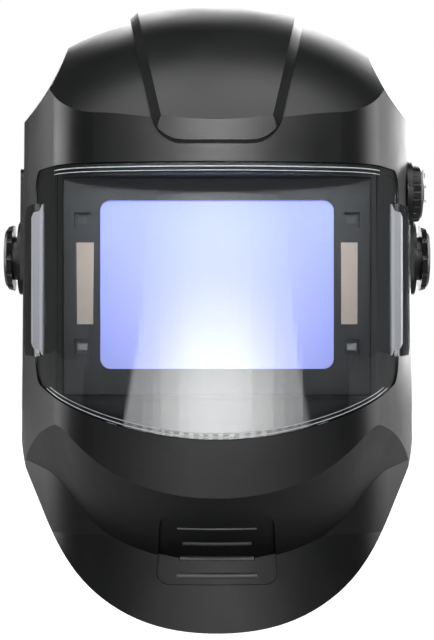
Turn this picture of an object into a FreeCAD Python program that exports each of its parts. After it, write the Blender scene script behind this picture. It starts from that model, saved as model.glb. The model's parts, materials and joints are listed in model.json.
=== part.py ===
import FreeCAD, Part
import math
import os
import re

from FreeCAD import Placement, Rotation, Vector

# Auto-darkening welding helmet. +Z is up, the mask faces -Y and the origin is
# the middle of the tilt axis, between the wearer's ears. Millimetres, degrees.

sizes = {
    # Mask in plan: a front arc, a tight corner and a long side arc
    "front_reach": 155.0,
    "front_radius": 200.0,
    "front_half_width": 58.0,
    "corner_radius": 32.0,
    "side_angle": 22.0,
    "side_reach_top": 127.6,
    "side_reach_low": 159.0,
    "plan_top": 170.0,
    "plan_low": -220.0,
    "shell_back": 75.0,
    "shell_wall": 2.6,
    # Dome over the head, a superellipse from front to back that drops at the sides
    "dome_centre_y": 20.0,
    "dome_centre_z": 15.0,
    "dome_length": 183.0,
    "dome_height": 117.2,
    "dome_power": 2.3,
    "dome_drop": 22.9,
    "dome_drop_at": 85.0,
    "dome_drop_power": 2.4,
    # Scalloped shoulder beside the dome
    "shoulder_top_x": 85.0,
    "shoulder_top_z": 110.6,
    "shoulder_low_x": 102.6,
    "shoulder_low_z": 81.0,
    "shoulder_sag": 1.2,
    "shoulder_taper": 0.094,
    "shoulder_rise": 0.13,
    # Jaw under the mask, and the skirt that flares to the chin rim
    "jaw_radius": 80.0,
    "jaw_axis_z": -37.0,
    "jaw_slope": 0.85,
    "jaw_angle": 60.0,
    "skirt_front_high": 112.0,
    "skirt_front_low": 126.0,
    "skirt_flare": 5.0,
    "skirt_radius": 190.0,
    "skirt_half_width": 65.0,
    "skirt_corner": 40.0,
    "skirt_side_angle": 60.0,
    # Edge of the shell
    "rim_half_width": 110.0,
    "rim_top_z": -70.0,
    "rim_drop": 116.0,
    "edge_y": 48.0,
    "edge_arc_y": -132.0,
    "edge_arc_z": 10.0,
    "edge_arc_radius": 180.0,
    # Raised forehead panel
    "panel_rise": 4.4,
    "panel_top_half": 48.0,
    "panel_low_half": 28.0,
    "panel_low_z": 49.5,
    "panel_top_z": 190.0,
    "panel_corner": 16.0,
    "panel_bevel_width": 4.6,
    "panel_bevel_depth": 2.6,
    # Raised side panels around the tilt pivots
    "side_panel_rise": 1.8,
    "side_panel_front": -34.0,
    "side_panel_rear": 34.0,
    "side_panel_low": -20.0,
    "side_panel_top": 47.0,
    "side_panel_round": 9.0,
    # Chin pocket with three breathing slots
    "pocket_top": -126.0,
    "pocket_low": -163.0,
    "pocket_top_half": 27.0,
    "pocket_low_half": 30.0,
    "pocket_round": 6.0,
    "pocket_depth": 2.4,
    "screen_thick": 1.2,
    "screen_margin": 3.0,
    "vent_top_z": -142.0,
    "vent_pitch": 8.4,
    "vent_height": 2.6,
    "vent_half": 17.0,
    "vent_widen": 1.5,
    # Visor opening and clear cover lens
    "visor_top": 40.0,
    "visor_low": -90.0,
    "visor_corner_low": -68.0,
    "visor_corner_x": 84.0,
    "visor_back": -92.0,
    "visor_round": 12.0,
    "lens_sink": 0.8,
    "lens_thick": 1.4,
    "lens_land": 3.0,
    "lens_gap": 0.4,
    "wing_top": 23.5,
    "wing_low": -52.0,
    "wing_back": -68.0,
    "wing_rise": 1.7,
    "wing_gap": 0.3,
    # Frame behind the lens, and its sleeve for the filter cartridge
    "frame_wall": 2.5,
    "frame_overlap": 6.0,
    "sleeve_wall": 3.0,
    "sleeve_back": -117.0,
    "cartridge_front": -131.0,
    "cartridge_split": -126.0,
    "cartridge_half_width": 72.7,
    "cartridge_low": -69.7,
    "cartridge_top": 33.7,
    "cartridge_gap": 0.3,
    "window_side": 17.0,
    "window_low": -57.4,
    "window_top": 23.4,
    "window_corner": 5.0,
    "glass_overlap": 4.0,
    "glass_thick": 3.0,
    "gasket_thick": 0.5,
    "rear_window_step": 7.7,
    "rear_window_low": -53.0,
    "rear_window_top": 19.0,
    "inner_lens_overlap": 2.2,
    "inner_lens_thick": 1.5,
    "cell_side": 5.7,
    "cell_width": 8.0,
    "cell_low": -36.0,
    "cell_top": 3.0,
    "cell_thick": 1.0,
    "sensor_side": 8.5,
    "sensor_upper_z": 13.7,
    "sensor_lower_z": -46.8,
    "sensor_half": 3.7,
    "sensor_depth": 3.0,
    "retainer_thick": 2.5,
    "retainer_lip": 3.7,
    "screw_x": 50.0,
    "screw_radius": 1.5,
    "screw_head_radius": 3.0,
    "screw_boss_half": 4.0,
    # Controls on the wearer's side of the cartridge
    "control_z": -61.5,
    "control_x": 25.0,
    "control_radius": 4.0,
    "control_shaft": 1.5,
    "control_height": 6.0,
    "switch_travel": 2.0,
    "board_top_z": 27.0,
    "board_side": 12.7,
    "button_x": 42.0,
    "button_radius": 2.5,
    "tray_side": 13.1,
    "tray_half_width": 9.0,
    "tray_z": -41.0,
    "tray_half_height": 9.5,
    "tray_depth": 6.0,
    "coin_radius": 8.0,
    "coin_thick": 3.2,
    # Shade dial on the wearer's left
    "dial_y": -50.0,
    "dial_z": 32.0,
    "dial_seat_x": 101.0,
    "dial_radius": 15.0,
    "dial_thick": 5.1,
    "dial_hub_radius": 5.6,
    "dial_shaft": 3.0,
    "dial_boss_radius": 12.0,
    "dial_seat_thick": 3.0,
    "pot_face_x": 92.0,
    "pot_depth": 8.5,
    "pot_half": 9.0,
    "cable_radius": 1.5,
    "clip_gap": 0.15,
    # Tilt pivot
    "stud_radius": 4.0,
    "pivot_seat_x": 108.1,
    "pivot_inner_x": 101.4,
    "pivot_boss_radius": 20.0,
    "washer_radius": 11.0,
    "washer_thick": 1.5,
    "knob_radius": 18.0,
    "knob_hub_radius": 12.0,
    "knob_hub": 2.8,
    "knob_thick": 4.4,
    "moving_gap": 0.3,
    "stop_depth": 5.0,
    # Slide between the headgear and the pivots
    "plate_x": 84.0,
    "plate_thick": 3.0,
    "plate_half_length": 34.0,
    "slot_half": 3.5,
    "slide_travel": 12.0,
    "tongue_half": 6.0,
    "carrier_half_length": 17.0,
    "carrier_half_height": 11.0,
    "carrier_thick": 3.0,
    "carrier_boss_radius": 12.0,
    "plate_low": -12.0,
    "plate_top": 17.0,
    # Headband
    "head_half_width": 79.0,
    "head_half_length": 98.0,
    "band_thick": 2.2,
    "band_half_height": 13.0,
    "band_tilt": 15.6,
    "band_lift": 7.0,
    "pad_thick": 8.0,
    "pad_half_height": 17.0,
    "brow_pad_end": -50.0,
    "rear_pad_end": 62.0,
    "strap_half_width": 9.0,
    "strap_thick": 1.8,
    "strap_height": 103.0,
    "strap_overlap": 22.0,
    "strap_z": 10.0,
    "strap_y": 6.0,
    "strap_gap": 0.1,
    "spare_hole_radius": 1.8,
    "peg_radius": 3.5,
    # Ratchet at the back of the headband
    "arc_centre_y": 34.0,
    "housing_inner": 66.6,
    "housing_outer": 77.0,
    "housing_half_angle": 30.0,
    "housing_half_height": 15.0,
    "rack_inner": 68.6,
    "rack_outer": 71.4,
    "rack_half_gap": 5.3,
    "rack_height": 4.0,
    "rack_tail_angle": 43.0,
    "rack_nose_angle": 14.0,
    "pinion_radius": 5.0,
    "ratchet_radius": 19.0,
    "ratchet_thick": 12.0,
    "ratchet_shaft": 3.0,
}

# Places inside the cartridge that follow its width
tied = {
    "window_half_width": "cartridge_half_width-window_side",
    "rear_window_half_width": "window_half_width-rear_window_step",
    "cell_outer_x": "cartridge_half_width-cell_side",
    "cell_inner_x": "cell_outer_x-cell_width",
    "sensor_x": "cartridge_half_width-sensor_side",
    "tray_x": "cartridge_half_width-tray_side",
    "board_half_width": "cartridge_half_width-board_side",
}

doc = FreeCAD.newDocument("WeldingHelmet")
sheet = doc.addObject("Spreadsheet::Sheet", "Sizes")
cells = {alias: str(value) for alias, value in sizes.items()}
cells.update({alias: "=" + formula for alias, formula in tied.items()})
for row, (alias, content) in enumerate(cells.items(), start=1):
    sheet.set(f"A{row}", alias)
    sheet.set(f"B{row}", content)
    sheet.setAlias(f"B{row}", alias)
doc.recompute()

parts = {}


# Small helpers

def size(alias):
    return float(sheet.get(alias))


def bound(text):
    def named(word):
        return f"Sizes.{word.group()}" if word.group() in cells else word.group()
    return re.sub(r"[a-z_]+", named, str(text))


def bind(item, **values):
    for prop, text in values.items():
        item.setExpression(prop, bound(text))


def place(item, x, y, z):
    for axis, text in zip("xyz", (x, y, z)):
        item.setExpression(f"Placement.Base.{axis}", bound(text))


def node(name, item):
    item.Label = name
    parts[name] = item
    return item


def box(name, x, y, z):
    item = doc.addObject("Part::Box", name)
    bind(item, Length=f"({x[1]})-({x[0]})", Width=f"({y[1]})-({y[0]})", Height=f"({z[1]})-({z[0]})")
    place(item, x[0], y[0], z[0])
    return item


turned = {"x": Rotation(Vector(0, 1, 0), 90), "y": Rotation(Vector(1, 0, 0), -90), "z": Rotation()}


def rod(name, axis, ends, radius, **centre):
    item = doc.addObject("Part::Cylinder", name)
    bind(item, Radius=radius, Height=f"({ends[1]})-({ends[0]})")
    item.Placement = Placement(Vector(), turned[axis])
    at = {"x": 0, "y": 0, "z": 0, **centre, axis: ends[0]}
    place(item, at["x"], at["y"], at["z"])
    return item


def cone(name, axis, ends, radii, **centre):
    item = doc.addObject("Part::Cone", name)
    bind(item, Radius1=radii[0], Radius2=radii[1], Height=f"({ends[1]})-({ends[0]})")
    item.Placement = Placement(Vector(), turned[axis])
    at = {"x": 0, "y": 0, "z": 0, **centre, axis: ends[0]}
    place(item, at["x"], at["y"], at["z"])
    return item


def fuse(name, *pieces):
    item = doc.addObject("Part::MultiFuse", name)
    item.Shapes = list(pieces)
    return item


def cut(name, base, *tools):
    item = doc.addObject("Part::Cut", name)
    item.Base = base
    item.Tool = tools[0] if len(tools) == 1 else fuse(f"{name}_tools", *tools)
    return item


def common(name, base, tool):
    item = doc.addObject("Part::Common", name)
    item.Base = base
    item.Tool = tool
    return item


def rounded(name, block, axis, radius):
    doc.recompute()
    along = {"x": Vector(1, 0, 0), "y": Vector(0, 1, 0), "z": Vector(0, 0, 1)}[axis]
    item = doc.addObject("Part::Fillet", name)
    item.Base = block
    item.Edges = [
        (number, radius, radius)
        for number, edge in enumerate(block.Shape.Edges, start=1)
        if abs(edge.tangentAt(edge.FirstParameter).dot(along)) > 0.999
    ]
    return item


def mirrored(name, source):
    item = doc.addObject("Part::Mirroring", f"{name}_mirror")
    item.Source = source
    item.Normal = Vector(1, 0, 0)
    item.Base = Vector(0, 0, 0)
    return node(name, item)


def form(name, shape):
    item = doc.addObject("Part::Feature", name)
    item.Shape = shape
    return item


def flip(point):
    return Vector(-point.x, point.y, point.z)


# Shell surfaces, each a closed solid set in by a distance from the outside

def plan_outline(z, inset, side_reach):
    front_angle = math.asin(size("front_half_width") / size("front_radius"))
    side_start = math.radians(90 - size("side_angle"))
    corner = size("corner_radius")
    side = side_reach / math.sin(math.radians(size("side_angle")))
    front_centre = Vector(0, size("front_radius") - size("front_reach"), z)
    corner_centre = front_centre + polar(size("front_radius") - corner, front_angle)
    side_centre = corner_centre - polar(side - corner, side_start)
    end = side_centre + polar(side - inset, math.pi / 2)
    back = Vector(end.x, size("shell_back"), z)
    arcs = [
        (corner_centre, corner - inset, front_angle, side_start),
        (side_centre, side - inset, side_start, math.pi / 2),
    ]
    nose = [front_centre + polar(size("front_radius") - inset, a) for a in (-front_angle, 0, front_angle)]
    edges = [Part.Arc(*nose).toShape()]
    for centre, radius, first, last in arcs:
        points = [centre + polar(radius, a) for a in (first, (first + last) / 2, last)]
        edges.append(Part.Arc(*points).toShape())
        edges.append(Part.Arc(*[flip(p) for p in points]).toShape())
    edges.append(Part.makeLine(end, back))
    edges.append(Part.makeLine(flip(end), flip(back)))
    edges.append(Part.makeLine(back, flip(back)))
    return Part.Wire(Part.__sortEdges__(edges))


def polar(radius, angle):
    return Vector(radius * math.sin(angle), -radius * math.cos(angle), 0)


def mask_solid(inset):
    low = plan_outline(size("plan_low"), inset, size("side_reach_low"))
    top = plan_outline(size("plan_top"), inset, size("side_reach_top"))
    return Part.makeLoft([low, top], True, True)


def dome_solid(inset):
    length = size("dome_length") - inset
    height = size("dome_height") - inset
    power = 2 / size("dome_power")
    rows = []
    for angle in (8, 12, 17, 23, 30, 38, 47, 57, 68, 80, 90, 101, 112):
        along = math.cos(math.radians(angle))
        up = math.sin(math.radians(angle))
        y = size("dome_centre_y") - length * math.copysign(abs(along) ** power, along)
        z = size("dome_centre_z") + height * up ** power
        rows.append([Vector(x, y, z - dome_drop(x)) for x in range(-120, 121, 20)])
    surface = Part.BSplineSurface()
    surface.interpolate(rows)
    return surface.toShape().extrude(Vector(0, 0, -500))


def dome_drop(x):
    return size("dome_drop") * abs(x / size("dome_drop_at")) ** size("dome_drop_power")


def shoulder_cutters(inset):
    high = Vector(size("shoulder_top_x"), 0, size("shoulder_top_z"))
    low = Vector(size("shoulder_low_x"), 0, size("shoulder_low_z"))
    sag = size("shoulder_sag")
    chord = (low - high).Length
    radius = (chord ** 2 / 4 + sag ** 2) / (2 * sag)
    slope = (low - high).normalize()
    centre = (high + low) * 0.5 + Vector(-slope.z, 0, slope.x) * (radius - sag)
    cutters = []
    for side in (1, -1):
        axis = Vector(side * size("shoulder_taper"), 1, size("shoulder_rise"))
        start = Vector(side * centre.x, 0, centre.z) - axis * 300
        cutters.append(Part.makeCylinder(radius + inset, 600, start, axis))
    return cutters


def skirt_outline(z, front, grow, inset):
    radius = size("skirt_radius")
    corner = size("skirt_corner")
    front_angle = math.asin((size("skirt_half_width") + grow) / radius)
    side_angle = math.radians(size("skirt_side_angle"))
    front_centre = Vector(0, radius - front, z)
    corner_centre = front_centre + polar(radius - corner, front_angle)
    points = [
        front_centre + polar(radius - inset, front_angle),
        corner_centre + polar(corner - inset, (front_angle + side_angle) / 2),
        corner_centre + polar(corner - inset, side_angle),
    ]
    side = points[2] + Vector(math.cos(side_angle), math.sin(side_angle), 0) * 100
    back = Vector(side.x, size("shell_back") + 20, z)
    nose = Vector(0, inset - front, z)
    edges = [Part.Arc(flip(points[0]), nose, points[0]).toShape(), Part.makeLine(back, flip(back))]
    for turn in (lambda p: p, flip):
        edges.append(Part.Arc(*[turn(p) for p in points]).toShape())
        edges.append(Part.makeLine(turn(points[2]), turn(side)))
        edges.append(Part.makeLine(turn(side), turn(back)))
    return Part.Wire(Part.__sortEdges__(edges))


def skirt_solid(inset):
    high = size("skirt_front_high")
    return Part.makeLoft([
        skirt_outline(-230, size("skirt_front_low"), size("skirt_flare"), inset),
        skirt_outline(-140, high, 0, inset),
        skirt_outline(60, high, 0, inset),
    ], True, True)


def jaw_solid(inset):
    start_y = -200.0
    slope = size("jaw_slope")
    radius = size("jaw_radius") - inset
    angle = math.radians(size("jaw_angle"))
    axis_z = size("jaw_axis_z") + slope * (-size("front_reach") - start_y)
    end = Vector(radius * math.sin(angle), start_y, axis_z - radius * math.cos(angle))
    wide = 140.0
    side = Vector(wide, start_y, end.z + (wide - end.x) * math.tan(angle))
    top = Vector(wide, start_y, 400)
    edges = [
        Part.Arc(flip(end), Vector(0, start_y, axis_z - radius), end).toShape(),
        Part.makeLine(top, flip(top)),
    ]
    for turn in (lambda p: p, flip):
        edges.append(Part.makeLine(turn(end), turn(side)))
        edges.append(Part.makeLine(turn(side), turn(top)))
    face = Part.Face(Part.Wire(Part.__sortEdges__(edges)))
    return face.extrude(Vector(0, 1, -slope) * 420)


def shell_solid(inset):
    solid = mask_solid(inset).common(dome_solid(inset))
    for cutter in shoulder_cutters(inset):
        solid = solid.cut(cutter)
    under = Part.makeBox(400, 400, 300, Vector(-200, -300, -320))
    under = under.cut(jaw_solid(inset)).cut(skirt_solid(inset))
    return solid.cut(under).removeSplitter()


# Lower rim seen from the front: shares of its half width and of its drop below the side walls
rim_shares = [(1.0, 0.0), (0.945, 0.25), (0.84, 0.45), (0.742, 0.62), (0.58, 0.815), (0.31, 0.96), (0.0, 1.0)]


def rim_solid():
    right = [
        Vector(size("rim_half_width") * across, -300, size("rim_top_z") - size("rim_drop") * down)
        for across, down in rim_shares
    ]
    curve = Part.BSplineCurve()
    curve.interpolate(right + [flip(p) for p in reversed(right[:-1])])
    top = Vector(right[0].x, -300, 300)
    edges = [
        curve.toShape(),
        Part.makeLine(right[0], top),
        Part.makeLine(top, flip(top)),
        Part.makeLine(flip(top), flip(right[0])),
    ]
    return Part.Face(Part.Wire(Part.__sortEdges__(edges))).extrude(Vector(0, 600, 0))


def mouth_cutter():
    centre = Vector(0, size("edge_arc_y"), size("edge_arc_z"))
    radius = size("edge_arc_radius")
    front = -60.0
    high = Vector(0, size("edge_y"), centre.z)
    low = Vector(0, front, centre.z - math.sqrt(radius ** 2 - (front - centre.y) ** 2))
    middle = centre + Vector(0, math.cos(math.radians(40)), -math.sin(math.radians(40))) * radius
    corners = [low, Vector(0, front, -260), Vector(0, 300, -260), Vector(0, 300, 300), Vector(0, high.y, 300), high]
    edges = [Part.makeLine(a, b) for a, b in zip(corners, corners[1:])]
    edges.append(Part.Arc(high, middle, low).toShape())
    face = Part.Face(Part.Wire(Part.__sortEdges__(edges)))
    face.translate(Vector(-200, 0, 0))
    return face.extrude(Vector(400, 0, 0))


def panel_prism():
    low, top = size("panel_low_z"), size("panel_top_z")
    narrow, wide = size("panel_low_half"), size("panel_top_half")
    slope = (wide - narrow) / (135.0 - low)
    points = [
        Vector(-narrow, -260, low), Vector(narrow, -260, low),
        Vector(narrow + slope * (top - low), -260, top), Vector(-narrow - slope * (top - low), -260, top),
    ]
    wire = Part.makePolygon(points + points[:1])
    solid = Part.Face(wire).extrude(Vector(0, 330, 0))
    lower = [e for e in solid.Edges if abs(e.tangentAt(0).y) > 0.999 and e.CenterOfMass.z < low + 1]
    return solid.makeFillet(size("panel_corner"), lower)


def visor_solid(grow):
    low = size("visor_low") - grow
    corner = Vector(size("visor_corner_x"), 0, size("visor_corner_low") - grow)
    top = size("visor_top") + grow
    back = size("visor_back") + grow
    reach = (corner.x ** 2 + (corner.z - low) ** 2) / (2 * (corner.z - low))
    side = Vector(110, -200, low + reach - math.sqrt(reach ** 2 - 110 ** 2))
    roof = Vector(110, -200, top)
    edges = [
        Part.Arc(flip(side), Vector(0, -200, low), side).toShape(),
        Part.makeLine(side, roof),
        Part.makeLine(roof, flip(roof)),
        Part.makeLine(flip(roof), flip(side)),
    ]
    solid = Part.Face(Part.Wire(Part.__sortEdges__(edges))).extrude(Vector(0, 200 + back, 0))
    rear = [e for e in solid.Edges if abs(e.CenterOfMass.y - back) < 0.01 and abs(e.CenterOfMass.x) < 1]
    return solid.makeFillet(size("visor_round") + grow, rear)


outer = shell_solid(0)
wall = size("shell_wall")
inner = shell_solid(wall)
edge = mouth_cutter()
rim = rim_solid()


def side_ends(side, first, last):
    return (first, last) if side > 0 else (f"-({last})", f"-({first})")


def make_helmet_shell():
    skin = outer.cut(inner)
    panel = shell_solid(-size("panel_rise")).common(panel_prism())
    across, deep = size("panel_bevel_width"), size("panel_bevel_depth")
    panel = panel.makeChamfer(across, deep, panel_top_edges(panel)).cut(inner)
    sides = Part.makeBox(400, size("side_panel_rear") - size("side_panel_front"),
                         size("side_panel_top") - size("side_panel_low"),
                         Vector(-200, size("side_panel_front"), size("side_panel_low")))
    sides = sides.makeFillet(size("side_panel_round"), [e for e in sides.Edges if abs(e.tangentAt(0).x) > 0.999])
    sides = shell_solid(-size("side_panel_rise")).common(sides).cut(inner)
    skin = skin.fuse([panel, sides]).common(rim).cut(edge)
    skin = skin.cut(visor_solid(0))
    skin = sink_chin_pocket(skin)
    skin = form("shell_skin", skin.removeSplitter())
    recess = rod("dial_recess", "x", ("dial_seat_x", "dial_seat_x+15"), "dial_radius+1", y="dial_y", z="dial_z")
    skin = cut("shell_with_recess", skin, recess)
    bosses = [
        rod("dial_boss", "x", ("pot_face_x", "dial_seat_x"), "dial_boss_radius", y="dial_y", z="dial_z"),
        rod("dial_seat", "x", ("dial_seat_x-dial_seat_thick", "dial_seat_x"), "dial_radius+1.5",
            y="dial_y", z="dial_z"),
    ]
    holes = [rod("dial_hole", "x", ("pot_face_x-5", "dial_seat_x+5"), "dial_shaft+moving_gap",
                 y="dial_y", z="dial_z")]
    for side, suffix in ((1, "left"), (-1, "right")):
        bosses.append(rod(f"pivot_boss_{suffix}", "x", side_ends(side, "pivot_inner_x", "pivot_seat_x"),
                          "pivot_boss_radius"))
        holes.append(rod(f"pivot_hole_{suffix}", "x", side_ends(side, "pivot_inner_x-5", "pivot_seat_x+5"),
                         "stud_radius+moving_gap"))
    body = fuse("shell_with_bosses", skin, *bosses)
    node("helmet_shell", cut("shell_body", body, *holes, *vent_slots()))


def panel_top_edges(panel):
    side_faces = [f for f in panel.Faces if isinstance(f.Surface, (Part.Plane, Part.Cylinder))]
    side_faces = [f for f in side_faces if abs(f.normalAt(0, 0).y) < 0.01]
    edges = []
    for face in panel.Faces:
        if isinstance(face.Surface, (Part.Plane, Part.Cylinder)):
            continue
        for edge in face.Edges:
            if any(edge.isSame(other) for side in side_faces for other in side.Edges):
                edges.append(edge)
    return edges


def chin_prism(grow):
    top, low = size("pocket_top"), size("pocket_low")
    high_half, low_half = size("pocket_top_half") + grow, size("pocket_low_half") + grow
    points = [Vector(high_half, -200, top + grow), Vector(low_half, -200, low - grow)]
    corners = [flip(points[1]), points[1], points[0], flip(points[0])]
    solid = Part.Face(Part.makePolygon(corners + corners[:1])).extrude(Vector(0, 140, 0))
    return solid.makeFillet(size("pocket_round") + grow, [e for e in solid.Edges if abs(e.tangentAt(0).y) > 0.999])


def sink_chin_pocket(skin):
    floor = shell_solid(size("pocket_depth"))
    under_floor = shell_solid(size("pocket_depth") + wall)
    hole = outer.cut(floor).common(chin_prism(0))
    tray = floor.cut(under_floor).common(chin_prism(wall))
    return skin.cut(hole).fuse(tray)


def make_vent_screen():
    back = size("pocket_depth") + wall
    sheet_form = shell_solid(back).cut(shell_solid(back + size("screen_thick")))
    node("vent_screen", form("vent_screen_body", sheet_form.common(chin_prism(-size("screen_margin")))))


def vent_slots():
    slots = []
    half_high = size("vent_height") / 2
    for number in range(3):
        z = size("vent_top_z") - number * size("vent_pitch")
        half = size("vent_half") + number * size("vent_widen")
        slots.append(box(f"vent_slot_{number}", (-half, half), (-160, -90), (z - half_high, z + half_high)))
    return slots


# Cover lens and the frame behind it

def between(outside, inside):
    return mask_solid(outside).cut(mask_solid(inside))


def make_cover_lens():
    inside = size("lens_sink") + size("lens_thick")
    glass = between(size("lens_sink"), inside).common(visor_solid(-size("lens_gap")))
    height = size("wing_top") - size("wing_low")
    back = size("visor_back")
    low = size("wing_low")
    root_y = back - size("lens_gap") - 6
    root = Part.makeBox(400, 5.8, height, Vector(-200, root_y, low))
    root = between(-size("wing_rise"), inside).common(root)
    wing = Part.makeBox(400, size("wing_back") - root_y, height, Vector(-200, root_y, low))
    corners = [e for e in wing.Edges if abs(e.tangentAt(0).x) > 0.999 and e.CenterOfMass.y > root_y + 1]
    wing = between(-size("wing_rise"), -size("wing_gap")).common(wing.makeFillet(8, corners))
    node("cover_lens", form("lens_body", glass.fuse([root, wing]).removeSplitter()))


def make_lens_frame():
    skin = between(wall, wall + size("frame_wall")).common(visor_solid(size("frame_overlap")))
    land = between(size("lens_sink") + size("lens_thick"), wall).common(visor_solid(-size("lens_gap")))
    skin = form("frame_skin", skin.fuse(land.cut(visor_solid(-size("lens_gap") - size("lens_land")))))
    room = form("frame_room", mask_solid(wall))
    across = ("-cartridge_half_width-cartridge_gap-sleeve_wall", "cartridge_half_width+cartridge_gap+sleeve_wall")
    up = ("cartridge_low-cartridge_gap-sleeve_wall", "cartridge_top+cartridge_gap+sleeve_wall")
    sleeve = box("sleeve_outside", across, (-170, "sleeve_back"), up)
    pieces = [sleeve]
    holes = [box("sleeve_inside", ("-cartridge_half_width-cartridge_gap", "cartridge_half_width+cartridge_gap"),
                 (-200, "sleeve_back+5"), ("cartridge_low-cartridge_gap", "cartridge_top+cartridge_gap"))]
    for name, x, z, away in screw_places():
        pieces.append(box(f"screw_boss_{name}", (f"{x}-screw_boss_half", f"{x}+screw_boss_half"),
                          (-140, "sleeve_back"), away))
        holes.append(rod(f"screw_hole_{name}", "y", ("sleeve_back-10", "sleeve_back+5"), "screw_radius", x=x, z=z))
    solid = fuse("frame_solid", skin, common("frame_sleeve", fuse("sleeve_solid", *pieces), room))
    node("lens_frame", cut("frame_body", solid, *holes))


def screw_places():
    places = []
    for name, x in (("left", "screw_x"), ("right", "-screw_x")):
        top = "cartridge_top+cartridge_gap+sleeve_wall"
        low = "cartridge_low-cartridge_gap-sleeve_wall"
        places.append((f"upper_{name}", x, f"{top}+screw_boss_half", (top, f"{top}+2*screw_boss_half")))
        places.append((f"lower_{name}", x, f"{low}-screw_boss_half", (f"{low}-2*screw_boss_half", low)))
    return places


# Filter cartridge

window = ("-window_half_width", "window_half_width")
window_up = ("window_low", "window_top")
seat = ("-window_half_width-glass_overlap", "window_half_width+glass_overlap")
seat_up = ("window_low-glass_overlap", "window_top+glass_overlap")
case = ("-cartridge_half_width", "cartridge_half_width")
case_up = ("cartridge_low", "cartridge_top")
glass_front = "cartridge_split-glass_thick"


def make_cartridge():
    cells = []
    cell_holes = []
    sensor_holes = []
    for side, suffix in ((1, "left"), (-1, "right")):
        across = side_ends(side, "cell_inner_x", "cell_outer_x")
        depth = ("cartridge_front", "cartridge_front+cell_thick")
        cells.append((f"solar_cell_{suffix}", box(f"cell_{suffix}", across, depth, ("cell_low", "cell_top"))))
        cell_holes.append(box(f"cell_hole_{suffix}", across, depth, ("cell_low", "cell_top")))
        for level in ("upper", "lower"):
            z = f"sensor_{level}_z"
            mid = "sensor_x" if side > 0 else "-sensor_x"
            floor = "cartridge_front+sensor_depth"
            sensor_holes.append(box(
                f"sensor_hole_{level}_{suffix}", (f"{mid}-sensor_half", f"{mid}+sensor_half"),
                ("cartridge_front", floor), (f"{z}-sensor_half", f"{z}+sensor_half")))
            sensor = box(f"sensor_{level}_{suffix}", (f"{mid}-2.2", f"{mid}+2.2"), (f"{floor}-1", floor),
                         (f"{z}-1.6", f"{z}+1.6"))
            node(f"arc_sensor_{level}_{suffix}", sensor)
    front = box("front_case_block", case, ("cartridge_front", "cartridge_split"), case_up)
    view = box("front_window", window, ("cartridge_front", "cartridge_split"), window_up)
    view = rounded("front_window_round", view, "y", size("window_corner"))
    bed = box("glass_seat", seat, (f"{glass_front}-gasket_thick", "cartridge_split"), seat_up)
    node("cartridge_front_case", cut("front_case", front, view, bed, *cell_holes, *sensor_holes))
    for name, item in cells:
        node(name, item)
    node("filter_glass", box("filter_plate", seat, (glass_front, "cartridge_split"), seat_up))
    ring = box("gasket_plate", seat, (f"{glass_front}-gasket_thick", glass_front), seat_up)
    gap = box("gasket_window", window, (f"{glass_front}-gasket_thick", glass_front), window_up)
    gap = rounded("gasket_window_round", gap, "y", size("window_corner"))
    node("cartridge_gasket", cut("gasket_ring", ring, gap))


rear_window = ("-rear_window_half_width", "rear_window_half_width")
rear_up = ("rear_window_low", "rear_window_top")
board_top = "rear_window_top+6"


def make_rear_case():
    block = box("rear_case_block", case, ("cartridge_split", "sleeve_back"), case_up)
    holes = [
        box("rear_view", rear_window, ("cartridge_split", "sleeve_back"), rear_up),
        box("board_room", ("-board_half_width", "board_half_width"), ("cartridge_split", "cartridge_split+3"), (board_top, f"{board_top}+7")),
        rod("button_hole", "y", ("sleeve_back-5", "sleeve_back"), "button_radius+moving_gap",
            x="button_x", z="control_z"),
        box("switch_slot", ("-switch_travel-3-moving_gap", "switch_travel+3+moving_gap"),
            ("sleeve_back-4", "sleeve_back"), ("control_z-1.5-moving_gap", "control_z+1.5+moving_gap")),
    ]
    for name, x in (("sensitivity", "-control_x"), ("delay", "control_x")):
        holes.append(rod(f"{name}_hole", "y", ("sleeve_back-5", "sleeve_back"), "control_shaft+moving_gap",
                         x=x, z="control_z"))
    for side, suffix in ((1, "left"), (-1, "right")):
        across = side_ends(side, "tray_x-tray_half_width-moving_gap", "tray_x+tray_half_width+moving_gap")
        holes.append(box(f"tray_room_{suffix}", across, ("sleeve_back-tray_depth-moving_gap", "sleeve_back"),
                         ("tray_z-tray_half_height-moving_gap", "tray_z+tray_half_height+moving_gap")))
    node("cartridge_rear_case", cut("rear_case", block, *holes))
    node("circuit_board", box("board", ("-board_half_width", "board_half_width"), ("cartridge_split", "cartridge_split+1.6"),
                              (board_top, f"{board_top}+7")))
    node("status_led", rod("led", "y", ("sleeve_back", "sleeve_back+1.2"), 1.5, x="control_x", z="board_top_z"))
    over = "inner_lens_overlap"
    plate = box("inner_lens_plate", (f"-rear_window_half_width-{over}", f"rear_window_half_width+{over}"),
                ("sleeve_back", "sleeve_back+inner_lens_thick"),
                (f"rear_window_low-{over}", f"rear_window_top+{over}"))
    node("inner_cover_lens", rounded("inner_lens_rounded", plate, "y", 3))


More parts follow.
